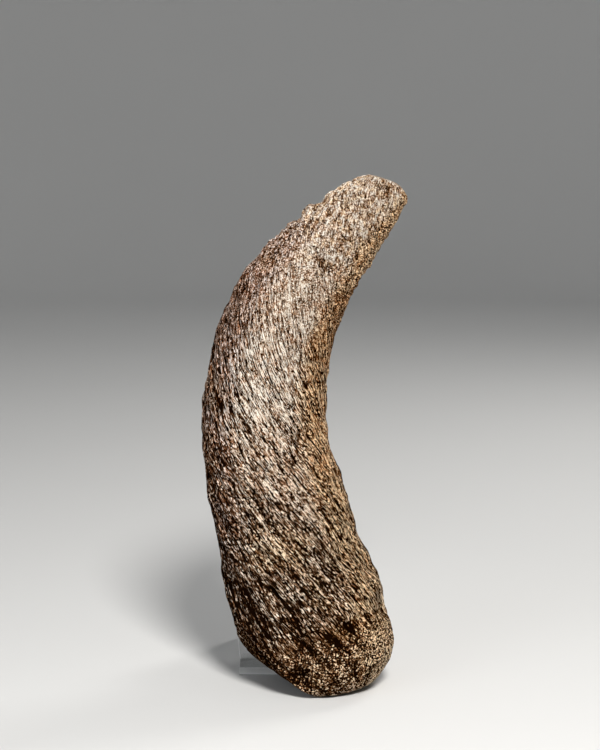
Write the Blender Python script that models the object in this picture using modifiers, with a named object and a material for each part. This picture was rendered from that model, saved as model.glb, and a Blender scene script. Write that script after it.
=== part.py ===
"""Fossil bison horn core leaning in a clear acrylic easel.

Two pieces, both standing on the plane z = 0:
  horn_core      the fossil itself, one curved, spirally furrowed body of bone
  display_stand  one sheet of clear acrylic, bent into a ledge, a back rest and a rear leg

x runs to the right, y away from the front and z up. Sizes are in millimetres and are
turned into metres as the meshes are made.
"""
import math
from typing import NamedTuple

import bmesh
import bpy
from mathutils import Vector, noise

MM = 0.001

# ---------------------------------------------------------------- common sizes
# The middle of the footprint, which becomes the origin of the part.
ORIGIN = Vector((3.0, 15.2, 0.0))


# ------------------------------------------------------------------- horn core
class Station(NamedTuple):
    """A point up the middle of the core, with the half widths of the body there."""

    x: float
    y: float
    z: float
    across: float
    deep: float


# Base to tip. The body leans back on the easel, bulges left and hooks over to the right.
STATIONS = (
    Station(25.0, -24.0, -9.0, 46.0, 41.0),
    Station(6.8, -13.0, 40.0, 46.8, 41.0),
    Station(-7.0, -4.0, 84.0, 44.5, 39.0),
    Station(-18.3, 4.5, 128.0, 42.0, 37.5),
    Station(-22.7, 11.0, 163.0, 39.5, 36.5),
    Station(-20.5, 17.0, 197.0, 37.5, 35.0),
    Station(-12.0, 21.5, 224.0, 35.5, 33.0),
    Station(2.2, 25.5, 250.5, 32.6, 30.0),
    Station(21.5, 29.0, 274.0, 27.0, 26.0),
    Station(39.8, 32.0, 294.6, 21.8, 21.5),
    Station(60.0, 34.0, 313.5, 17.0, 17.0),
)
ROUND_BASE = 34.0      # length over which the broken base rounds off
ROUND_TIP = 12.0       # the same at the blunt tip
BASE_SQUARENESS = 2.3  # 2 is an ellipse, more is a blunter end
TIP_SQUARENESS = 3.6

SIDES = 60             # facets round the body
BASE_RINGS = 9
BODY_RINGS = 58
TIP_RINGS = 6
CURVE_STEPS = 400      # steps in which the middle line is measured

# Furrows wind up the body: tangent of their angle to its length, at the base and tip.
WIND_BASE = 0.45
WIND_TIP = 1.0

# The base is broken off in a rough face that stays clear of the ledge.
BREAK_HEIGHT = -0.9
BREAK_FRONT = -58.0
BREAK_SLOPE = 0.108
BREAK_ROUNDING = 3.0
BREAK_CORNER = Vector((16.0, -50.0))  # from here the break curves up to the front left
BREAK_TURN = math.radians(30.0)
BREAK_CURVE = 0.029

# A chip is missing from its right corner, which leaves a rim with a steep face under it.
CHIP_CORNER = Vector((46.0, -35.0, 4.8))
CHIP_TURN = math.radians(-18.0)
CHIP_SLOPE = 1.8
CHIP_ROUNDING = 2.0

# The blunt tip is worn off level, sloping down to the right.
WEAR_HEIGHT = 317.0
WEAR_X = 46.0
WEAR_SLOPE = 0.28
WEAR_ROUNDING = 3.5


class Mark(NamedTuple):
    """A dent or a knob: its place up the body and round it, half sizes and height."""

    along: float
    angle: float
    length: float
    width: float
    height: float


# Angles run from the hollow side (0) over the front (90) to the bulging side (180).
MARKS = (
    Mark(312.0, 176.0, 5.0, 6.0, 2.4),     # knob below the tip
    Mark(320.0, 176.0, 4.0, 7.0, -1.6),    # notch above it
    Mark(291.0, 82.0, 5.0, 11.0, -2.8),    # pitted hollow below the tip
    Mark(254.0, 147.0, 8.0, 7.0, -1.4),    # worn patch on the bulging side
    Mark(162.0, 57.0, 11.0, 4.5, -2.2),    # slit at half height
    Mark(136.0, 105.0, 12.0, 7.0, -1.8),   # hollow
    Mark(96.0, 78.0, 9.0, 6.0, -1.6),      # hollow
    Mark(131.0, 182.0, 14.0, 12.0, -2.0),  # flat place on the bulging side
    Mark(64.0, 6.0, 10.0, 12.0, 3.0),      # knob on the hollow side
    Mark(44.0, 57.0, 9.0, 9.0, -2.6),      # hollow above the base
    Mark(25.0, 112.0, 6.0, 6.0, -8.0),     # hole at the broken edge
    Mark(42.0, 113.0, 16.0, 4.5, 2.8),     # ridge running down to it
    Mark(38.0, 99.0, 18.0, 6.0, -2.8),     # groove beside the ridge
    Mark(186.0, 262.0, 14.0, 8.0, -2.4),   # hollows and knobs of the back
    Mark(120.0, 285.0, 16.0, 7.0, -2.0),
    Mark(232.0, 300.0, 8.0, 9.0, 1.8),
    Mark(268.0, 250.0, 9.0, 7.0, -2.0),
)

# ----------------------------------------------------------------------- stand
SHEET = 5.0            # thickness of the acrylic
STAND_X = -4.0         # middle of the stand
LEDGE_DEPTH = 25.2     # flat part of the ledge, front edge to back rest
LEDGE_HALF = 35.0      # half width of the ledge and of the foot of the leg
FLARED_HALF = 39.5     # half width of the back rest above its flare
FLARE_LENGTH = 50.0
BEND = 5.5             # bend radius at the middle of the sheet
TOP_BEND = 8.0
REST_LEAN = math.radians(8.6)
REST_LENGTH = 68.0     # straight part of the back rest
LEG_LEAN = math.radians(24.0)
FOOT_RISE = 0.85       # height of the middle of the sheet where the leg ends
EDGE_ROUND = 0.6       # polished edge
STRAIGHT_STEP = 9.0
BEND_STEP = math.radians(12.0)


# --------------------------------------------------------------------- helpers
def clear_scene():
    """Remove what the scene holds."""
    for obj in list(bpy.data.objects):
        bpy.data.objects.remove(obj, do_unlink=True)


def make_collection(name):
    """Return a new collection linked to the scene."""
    collection = bpy.data.collections.new(name)
    bpy.context.scene.collection.children.link(collection)
    return collection


def make_material(name, colour, roughness, metallic=0.0, transmission=0.0, ior=1.5):
    """Return a Principled material."""
    material = bpy.data.materials.new(name)
    material.use_nodes = True
    shader = material.node_tree.nodes["Principled BSDF"]
    shader.inputs["Base Color"].default_value = (*colour, 1.0)
    shader.inputs["Roughness"].default_value = roughness
    shader.inputs["Metallic"].default_value = metallic
    shader.inputs["Transmission Weight"].default_value = transmission
    shader.inputs["IOR"].default_value = ior
    return material


def add_object(name, bm, collection, material):
    """Turn a bmesh in millimetres into a named object in metres, set on the origin."""
    bmesh.ops.translate(bm, vec=-ORIGIN, verts=bm.verts)
    bmesh.ops.scale(bm, vec=(MM, MM, MM), verts=bm.verts)
    mesh = bpy.data.meshes.new(name)
    bm.to_mesh(mesh)
    bm.free()
    mesh.materials.append(material)
    obj = bpy.data.objects.new(name, mesh)
    collection.objects.link(obj)
    return obj


def spline(values, t):
    """Catmull-Rom value of a list of numbers at t, from 0 to 1 over the whole list."""
    spans = len(values) - 1
    place = min(max(t, 0.0), 1.0) * spans
    i = min(int(place), spans - 1)
    f = place - i
    v1 = values[i]
    v2 = values[i + 1]
    v0 = values[i - 1] if i > 0 else 2.0 * v1 - v2
    v3 = values[i + 2] if i + 2 <= spans else 2.0 * v2 - v1
    return v1 + 0.5 * f * (
        v2 - v0 + f * (2.0 * v0 - 5.0 * v1 + 4.0 * v2 - v3 + f * (3.0 * (v1 - v2) + v3 - v0))
    )


def smooth_max(a, b, rounding):
    """The larger of a and b, with the corner between them rounded off."""
    h = max(rounding - abs(a - b), 0.0) / rounding
    return max(a, b) + h * h * rounding * 0.25


# ------------------------------------------------------------------- horn core
class Core:
    """The middle line of the core, measured by length, and the wind of its furrows."""

    def __init__(self):
        self.steps = []
        length = 0.0
        wind = 0.0
        before = self.middle(0.0)
        for i in range(CURVE_STEPS + 1):
            t = i / CURVE_STEPS
            point = self.middle(t)
            step = (point - before).length
            slope = WIND_BASE + (WIND_TIP - WIND_BASE) * t
            length += step
            wind += step * slope / self.half("across", t)
            self.steps.append((length, t, wind))
            before = point
        self.length = length

    def middle(self, t):
        """Point of the middle line at t."""
        return Vector([spline([getattr(s, axis) for s in STATIONS], t) for axis in "xyz"])

    def half(self, name, t):
        """Half width of the body at t."""
        return spline([getattr(s, name) for s in STATIONS], t)

    def at(self, along):
        """Parameter t and wind angle at a length along the middle line."""
        low = 0
        high = CURVE_STEPS
        while high - low > 1:
            mid = (low + high) // 2
            if self.steps[mid][0] <= along:
                low = mid
            else:
                high = mid
        s0, t0, w0 = self.steps[low]
        s1, t1, w1 = self.steps[high]
        f = (along - s0) / (s1 - s0)
        return t0 + f * (t1 - t0), w0 + f * (w1 - w0)

    def sides(self, t):
        """Unit directions to the hollow side and to the back, square to the middle line."""
        small = 0.5 / CURVE_STEPS
        tangent = (self.middle(t + small) - self.middle(t - small)).normalized()
        if t < small:
            tangent = (self.middle(small) - self.middle(0.0)).normalized()
        if t > 1.0 - small:
            tangent = (self.middle(1.0) - self.middle(1.0 - small)).normalized()
        back = Vector((0.0, 1.0, 0.0))
        back = (back - tangent * back.dot(tangent)).normalized()
        return back.cross(tangent), back

    def rings(self):
        """Length and share of the full half width of each ring, base to tip."""
        rings = []
        for i in range(1, BASE_RINGS + 1):
            turn = 0.5 * math.pi * i / BASE_RINGS
            drop = math.cos(turn) ** (2.0 / BASE_SQUARENESS)
            rings.append((ROUND_BASE * (1.0 - drop), math.sin(turn) ** (2.0 / BASE_SQUARENESS)))
        for i in range(1, BODY_RINGS + 1):
            share = i / (BODY_RINGS + 1)
            rings.append((ROUND_BASE + (self.length - ROUND_BASE - ROUND_TIP) * share, 1.0))
        for i in range(TIP_RINGS, 0, -1):
            turn = 0.5 * math.pi * i / TIP_RINGS
            drop = math.cos(turn) ** (2.0 / TIP_SQUARENESS)
            rings.append((
                self.length - ROUND_TIP * (1.0 - drop),
                math.sin(turn) ** (2.0 / TIP_SQUARENESS),
            ))
        return rings


def marks_height(along, angle, across):
    """Height that the dents and knobs add at a place on the body."""
    height = 0.0
    for mark in MARKS:
        turn = (angle - math.radians(mark.angle) + math.pi) % (2.0 * math.pi) - math.pi
        u = (along - mark.along) / mark.length
        v = turn * across / mark.width
        height += mark.height * math.exp(-(u * u + v * v))
    return height


def relief(point, along, angle, wind, across, share):
    """Height of the bone's relief: slow swells, wound furrows, grain and single marks."""
    flow = angle - wind
    swell = noise.noise(point / 42.0)
    round_flow = Vector((math.cos(flow) * 4.6, math.sin(flow) * 4.6, along / 30.0))
    furrow = noise.noise(round_flow)
    ridge = 0.5 - abs(noise.noise(round_flow * 1.7 + Vector((7.0, 3.0, 5.0))))
    grain = noise.noise(point / 10.0)
    height = 1.5 * swell + 1.5 * furrow + 2.0 * ridge + 1.1 * grain - 0.6
    return share * height + marks_height(along, angle, across) * share


def reach(x, y, corner, turn):
    """How far a place lies beyond a corner, in a direction in the plane."""
    return (x - corner.x) * math.cos(turn) + (y - corner.y) * math.sin(turn)


def break_floor(x, y):
    """Height of the broken face under the base."""
    rough = max(0.6 * (noise.noise(Vector((x, y, 0.0)) / 9.0) + 0.6), 0.0)
    cut = max(-reach(x, y, BREAK_CORNER, BREAK_TURN), 0.0)
    level = BREAK_HEIGHT + BREAK_SLOPE * (y - BREAK_FRONT) + BREAK_CURVE * cut * cut
    chip = CHIP_CORNER.z + CHIP_SLOPE * reach(x, y, CHIP_CORNER, CHIP_TURN)
    return smooth_max(level, chip, CHIP_ROUNDING) + rough


def wear_ceiling(x):
    """Height of the worn face at the tip."""
    return WEAR_HEIGHT - WEAR_SLOPE * (x - WEAR_X)


def horn_point(core, along, share, angle):
    """Point of the finished surface."""
    t, wind = core.at(along)
    hollow, back = core.sides(t)
    across = core.half("across", t)
    deep = core.half("deep", t)
    outward = hollow * math.cos(angle) - back * math.sin(angle)
    flat = hollow * (math.cos(angle) * across) - back * (math.sin(angle) * deep)
    point = core.middle(t) + flat * share
    point += outward * relief(point, along, angle, wind, across, share)
    point.z = smooth_max(point.z, break_floor(point.x, point.y), BREAK_ROUNDING)
    point.z = -smooth_max(-point.z, -wear_ceiling(point.x), WEAR_ROUNDING)
    return point


def build_horn_core(collection):
    """The horn core: a sphere whose rings are laid along the curved middle line."""
    core = Core()
    rings = core.rings()
    bm = bmesh.new()
    bmesh.ops.create_uvsphere(bm, u_segments=SIDES, v_segments=len(rings) + 1, radius=1.0)
    for vert in bm.verts:
        polar = math.acos(max(-1.0, min(1.0, -vert.co.z)))
        ring = round(polar / math.pi * (len(rings) + 1)) - 1
        angle = math.atan2(-vert.co.y, vert.co.x)
        if ring < 0:
            vert.co = horn_point(core, 0.0, 0.0, 0.0)
        elif ring >= len(rings):
            vert.co = horn_point(core, core.length, 0.0, 0.0)
        else:
            along, share = rings[ring]
            vert.co = horn_point(core, along, share, angle)
    for face in bm.faces:
        face.smooth = True
    bone = make_material("fossil_bone", (0.27, 0.185, 0.125), 0.62)
    return add_object("horn_core", bm, collection, bone)


# ----------------------------------------------------------------------- stand
class Bender:
    """Walks the middle of the sheet through straights and bends, front edge to foot."""

    def __init__(self):
        self.y = 0.0
        self.z = 0.5 * SHEET
        self.heading = 0.0
        self.walked = 0.0
        self.points = [(self.y, self.z, self.walked)]

    def step(self, length):
        """Go forward and note the place."""
        self.y += length * math.cos(self.heading)
        self.z += length * math.sin(self.heading)
        self.walked += length
        self.points.append((self.y, self.z, self.walked))

    def straight(self, length):
        """A flat stretch."""
        count = max(1, round(length / STRAIGHT_STEP))
        for _ in range(count):
            self.step(length / count)

    def bend(self, radius, turn):
        """A bend of a radius, turning up for a positive angle and down for a negative one."""
        count = max(2, round(abs(turn) / BEND_STEP))
        part = turn / count
        for _ in range(count):
            self.heading += 0.5 * part
            self.step(2.0 * radius * math.sin(0.5 * abs(part)))
            self.heading += 0.5 * part


def stand_half_width(walked, rest_start, leg_start, total):
    """Half width of the sheet: flared up the back rest, narrowing again down the leg."""
    flare = min(max((walked - rest_start) / FLARE_LENGTH, 0.0), 1.0)
    narrow = min(max((walked - leg_start) / (total - leg_start), 0.0), 1.0)
    return LEDGE_HALF + (FLARED_HALF - LEDGE_HALF) * (flare - narrow)


def build_display_stand(collection):
    """The easel: a flat grid bent along its path, given the thickness of the sheet."""
    path = Bender()
    up = 0.5 * math.pi - REST_LEAN
    down = -0.5 * math.pi + LEG_LEAN
    path.straight(LEDGE_DEPTH + 0.5 * SHEET - BEND)
    rest_start = path.walked
    path.bend(BEND, up)
    path.straight(REST_LENGTH)
    path.bend(TOP_BEND, down - up)
    leg_start = path.walked
    path.straight((path.z - FOOT_RISE) / math.cos(LEG_LEAN))

    rows = path.points
    bm = bmesh.new()
    bmesh.ops.create_grid(bm, x_segments=1, y_segments=len(rows) - 1, size=1.0)
    for vert in bm.verts:
        row = round((vert.co.y + 1.0) * 0.5 * (len(rows) - 1))
        y, z, walked = rows[row]
        half = stand_half_width(walked, rest_start, leg_start, path.walked)
        vert.co = Vector((STAND_X + math.copysign(half, vert.co.x), y, z))
    acrylic = make_material("clear_acrylic", (0.95, 0.97, 0.98), 0.03, transmission=1.0, ior=1.49)
    stand = add_object("display_stand", bm, collection, acrylic)

    thickness = stand.modifiers.new("sheet_thickness", "SOLIDIFY")
    thickness.thickness = SHEET * MM
    thickness.offset = 0.0
    thickness.use_even_offset = True
    edges = stand.modifiers.new("polished_edges", "BEVEL")
    edges.width = EDGE_ROUND * MM
    edges.segments = 2
    edges.limit_method = "ANGLE"
    edges.angle_limit = math.radians(40.0)
    return stand


def main():
    """Build the horn core and its stand."""
    clear_scene()
    collection = make_collection("fossil_bison_horn_core")
    build_horn_core(collection)
    build_display_stand(collection)


main()
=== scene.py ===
"""Looks of a fossil bison horn core that leans in a clear acrylic easel.

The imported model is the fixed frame. The bone gets a dense skin with its wound grain, slits,
pits and broken base, and the easel a finely bent sheet with polished faces and satin edges.
Lengths are in millimetres unless a name or a docstring says otherwise, and become metres as
the meshes are made.
"""
import logging
import math
from dataclasses import dataclass, field
from enum import Enum
from typing import Any, NamedTuple

import bmesh
import bpy
import numpy as np
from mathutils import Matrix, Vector, noise


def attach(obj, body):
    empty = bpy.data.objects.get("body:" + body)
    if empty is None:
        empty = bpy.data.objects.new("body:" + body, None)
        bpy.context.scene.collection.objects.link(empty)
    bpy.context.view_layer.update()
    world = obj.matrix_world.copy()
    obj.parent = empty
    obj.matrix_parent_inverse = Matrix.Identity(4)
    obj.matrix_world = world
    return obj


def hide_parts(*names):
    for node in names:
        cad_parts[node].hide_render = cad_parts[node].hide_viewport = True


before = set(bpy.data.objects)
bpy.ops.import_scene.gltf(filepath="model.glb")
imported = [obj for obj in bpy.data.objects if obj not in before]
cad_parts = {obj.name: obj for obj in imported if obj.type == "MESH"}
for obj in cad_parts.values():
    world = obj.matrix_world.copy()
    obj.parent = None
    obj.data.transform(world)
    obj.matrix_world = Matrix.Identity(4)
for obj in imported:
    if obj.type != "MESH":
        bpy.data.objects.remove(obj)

MM = 0.001
LOG = logging.getLogger("horn_core")

Colour = tuple[float, float, float]
# Where something starts and where it is full. The second may be the smaller.
Reach = tuple[float, float]

# The middle of the footprint in the maker's own drawing, which is the origin of the frame.
ORIGIN = Vector((3.0, 15.2, 0.0))


# ------------------------------------------------------------------ node graphs
class Value:
    """A number that varies over a surface. Its operators add Math nodes."""

    def __init__(self, graph: "Graph", socket: bpy.types.NodeSocket) -> None:
        """Wraps an output socket of a graph."""
        self.graph = graph
        self.socket = socket

    def math(self, operation: str, *others: Any) -> "Value":
        """A Math node on this value and others.

        Args:
            operation: the node's operation.
            others: the further inputs, numbers or values.

        Returns:
            The node's result.
        """
        inputs = dict(enumerate((self, *others)))
        return self.graph.value("ShaderNodeMath", {"operation": operation}, inputs)

    def __add__(self, other: Any) -> "Value":
        """Sum."""
        return self.math("ADD", other)

    def __radd__(self, other: Any) -> "Value":
        """Sum."""
        return self.math("ADD", other)

    def __sub__(self, other: Any) -> "Value":
        """Difference."""
        return self.math("SUBTRACT", other)

    def __rsub__(self, other: Any) -> "Value":
        """Difference from a number."""
        return self.graph.constant(other).math("SUBTRACT", self)

    def __mul__(self, other: Any) -> "Value":
        """Product."""
        return self.math("MULTIPLY", other)

    def __rmul__(self, other: Any) -> "Value":
        """Product."""
        return self.math("MULTIPLY", other)

    def at_most(self, most: float) -> "Value":
        """This value, or a limit where it is more."""
        return self.math("MINIMUM", most)

    def unsigned(self) -> "Value":
        """This value without its sign."""
        return self.math("ABSOLUTE")

    def between(self, low: float, high: float) -> "Value":
        """Smooth step from 0 at low to 1 at high.

        Args:
            low: where the result is 0.
            high: where the result is 1. It may be less than low.

        Returns:
            The step.
        """
        if low > high:
            return 1.0 - self.between(high, low)
        settings = {"interpolation_type": "SMOOTHSTEP"}
        inputs = {"Value": self, "From Min": low, "From Max": high}
        return self.graph.value("ShaderNodeMapRange", settings, inputs)


class Graph:
    """The node tree of one material."""

    def __init__(self, name: str) -> None:
        """Makes a material with an empty tree and an output.

        Args:
            name: the material's name.
        """
        self.material = bpy.data.materials.new(name)
        self.material.use_nodes = True
        self.tree = self.material.node_tree
        self.tree.nodes.clear()
        self.output = self.tree.nodes.new("ShaderNodeOutputMaterial")

    def node(self, kind: str, settings: dict[str, Any] | None = None,
             inputs: dict[Any, Any] | None = None) -> bpy.types.Node:
        """Adds a node.

        Args:
            kind: the node's type.
            settings: its properties, set first. "stops" are a ramp's places and colours.
            inputs: values or links of its input sockets, by name or number.

        Returns:
            The node.
        """
        made = self.tree.nodes.new(kind)
        for name, setting in (settings or {}).items():
            if name == "stops":
                self._set_stops(made.color_ramp, setting)
            else:
                setattr(made, name, setting)
        for key, given in (inputs or {}).items():
            socket = made.inputs[key]
            source = given.socket if isinstance(given, Value) else given
            if isinstance(source, bpy.types.NodeSocket):
                self.tree.links.new(source, socket)
            else:
                socket.default_value = source
        return made

    @staticmethod
    def _set_stops(ramp: bpy.types.ColorRamp, stops: tuple[tuple[float, Colour], ...]) -> None:
        """Gives a ramp its stops.

        Args:
            ramp: the ramp.
            stops: places from 0 to 1 with their colours.
        """
        while len(ramp.elements) < len(stops):
            ramp.elements.new(1.0)
        for element, (place, colour) in zip(ramp.elements, stops):
            element.position = place
            element.color = (*colour, 1.0)

    def value(self, kind: str, settings: dict[str, Any] | None = None,
              inputs: dict[Any, Any] | None = None, output: Any = 0) -> Value:
        """Adds a node and wraps one of its outputs.

        Args:
            kind: the node's type.
            settings: its properties.
            inputs: its input sockets.
            output: name or number of the output.

        Returns:
            The wrapped output.
        """
        return Value(self, self.node(kind, settings, inputs).outputs[output])

    def constant(self, number: float) -> Value:
        """A plain number as a value.

        Args:
            number: the number.

        Returns:
            The value.
        """
        made = self.node("ShaderNodeValue")
        made.outputs[0].default_value = number
        return Value(self, made.outputs[0])

    def attribute(self, name: str, output: str = "Fac") -> Value:
        """A value kept on the mesh."""
        return self.value("ShaderNodeAttribute", {"attribute_name": name}, output=output)

    def here(self) -> Value:
        """The place on the object, in metres."""
        return self.value("ShaderNodeTexCoord", output="Object")

    def split(self, vector: Value) -> tuple[Value, Value, Value]:
        """The three numbers of a vector."""
        made = self.node("ShaderNodeSeparateXYZ", inputs={0: vector})
        return tuple(Value(self, socket) for socket in made.outputs)

    def scaled(self, vector: Value, factors: tuple[float, float, float]) -> Value:
        """A vector with each axis multiplied by its own factor."""
        inputs = {0: vector, 1: factors}
        return self.value("ShaderNodeVectorMath", {"operation": "MULTIPLY"}, inputs)

    def noise(self, where: Value, scale: float, detail: float = 1.0, warp: float = 0.0) -> Value:
        """Noise from 0 to 1.

        Args:
            where: the coordinates.
            scale: features to a unit of the coordinates.
            detail: number of finer layers.
            warp: how far the noise bends itself.

        Returns:
            The noise.
        """
        inputs = {"Vector": where, "Scale": scale, "Detail": detail, "Distortion": warp}
        return self.value("ShaderNodeTexNoise", inputs=inputs)

    def flecks(self, where: Value, scale: float) -> Value:
        """A random number from 0 to 1 for each of many small cells.

        Args:
            where: the coordinates.
            scale: cells to a unit of the coordinates.

        Returns:
            The number, the same all over a cell.
        """
        inputs = {"Vector": where, "Scale": scale}
        return self.split(self.value("ShaderNodeTexVoronoi", inputs=inputs, output="Color"))[0]

    def mix(self, share: Any, first: Any, second: Any, blend: str = "MIX") -> Value:
        """Mixes two colours.

        Args:
            share: how much of the second colour, 0 to 1.
            first: a colour or a value that holds one.
            second: the other colour.
            blend: the way of mixing.

        Returns:
            The mixed colour.
        """
        settings = {"data_type": "RGBA", "blend_type": blend}
        colours = [(*c, 1.0) if isinstance(c, tuple) else c for c in (first, second)]
        inputs = {0: share, 6: colours[0], 7: colours[1]}
        return self.value("ShaderNodeMix", settings, inputs, output=2)

    def tinted(self, share: Value, colour: Value, tint: Colour) -> Value:
        """A colour multiplied by a tint, as far as a share from 0 to 1 says."""
        return self.mix(share, colour, self.mix(1.0, colour, tint, "MULTIPLY"))

    def bump(self, height: Value, distance: float, strength: float = 1.0) -> Value:
        """A normal bent by a height.

        Args:
            height: the height, 0 to 1.
            distance: what a height of 1 stands for, in metres.
            strength: share of the effect.

        Returns:
            The normal.
        """
        inputs = {"Height": height, "Distance": distance, "Strength": strength}
        return self.value("ShaderNodeBump", inputs=inputs)

    def principled(self, **inputs: Any) -> bpy.types.Node:
        """A Principled shader. Its sockets are given with _ for each blank of their names."""
        named = {name.replace("_", " "): given for name, given in inputs.items()}
        return self.node("ShaderNodeBsdfPrincipled", inputs=named)

    def surface(self, shader: bpy.types.Node) -> bpy.types.Material:
        """Puts a shader on the output and returns the finished material."""
        self.tree.links.new(shader.outputs[0], self.output.inputs["Surface"])
        return self.material


class Attribute(Enum):
    """Names of what the bone's skin keeps for its finish."""

    GRAIN = "grain"
    PLACE = "place"
    # The cavity carries painted shade for the pits, slits, crevices and dents.
    CAVITY = "cavity"
    LOOSE = "loose"


class Zone(Enum):
    """Parts of the bone that have a tone, a colour or a grain of their own."""

    CRUMBLY = "broken foot"
    CRISP_ABOVE = "where the crisp grain starts"
    COOL_ABOVE = "where the mauve of the bulging side starts"
    LOW = "dark lower quarter"
    GRAINY = "lower half, of finer grain"
    CRISP_BELOW = "where the crisp grain ends"
    WAIST = "lower half, up to the middle"
    UPPER = "from the foot to the shoulder, ever paler"
    FACE_ABOVE = "where the pale front starts"
    MIDDLE = "from the lower third up"
    CRACKLED = "upper half, of crackled skin"
    SHOULDER = "where the core bends over"
    CROWN = "end with its golden and chalky specks"
    TIP = "worn, knobbly end"
    BULGE = "bulging left side"
    INSIDE = "hollow right side"
    FACE = "front and back of the upper half"


class Weight(NamedTuple):
    """What a zone adds to a number, or only where it meets a second zone."""

    amount: float
    zone: Zone
    meets: Zone | None = None


class Strands(NamedTuple):
    """Noise along the grain: features to a grain, the share of that along it, layers, bend."""

    scale: float
    stretch: float
    detail: float = 1.0
    warp: float = 0.4


@dataclass(frozen=True)
class BonePlace:
    """What the finish knows of a place on the bone."""

    graph: Graph
    grain: Value
    where: Value
    along: Value
    cavity: Value
    loose: Value
    zones: dict[Zone, Value]

    def drawn(self, strands: Strands, finer: float = 1.0) -> Value:
        """Noise along the grain, from 0 to 1.

        Args:
            strands: its sizes.
            finer: how many times narrower it is.

        Returns:
            The noise.
        """
        drawn_out = self.graph.scaled(self.grain, (finer, finer, strands.stretch))
        return self.graph.noise(drawn_out, strands.scale, strands.detail, strands.warp)

    def loosened(self, wound: Value, crumbly: Value) -> Value:
        """One number where the grain is wound, and another where it is loose crumbs."""
        return wound + (crumbly - wound) * self.loose

    def weighed(self, start: float, weights: tuple[Weight, ...]) -> Value:
        """A number that each zone raises or lowers.

        Args:
            start: the number outside all zones.
            weights: what the zones add.

        Returns:
            The sum.
        """
        total = start
        for weight in weights:
            share = self.zones[weight.zone]
            if weight.meets:
                share = share * self.zones[weight.meets]
            total = total + share * weight.amount
        return total


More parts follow.
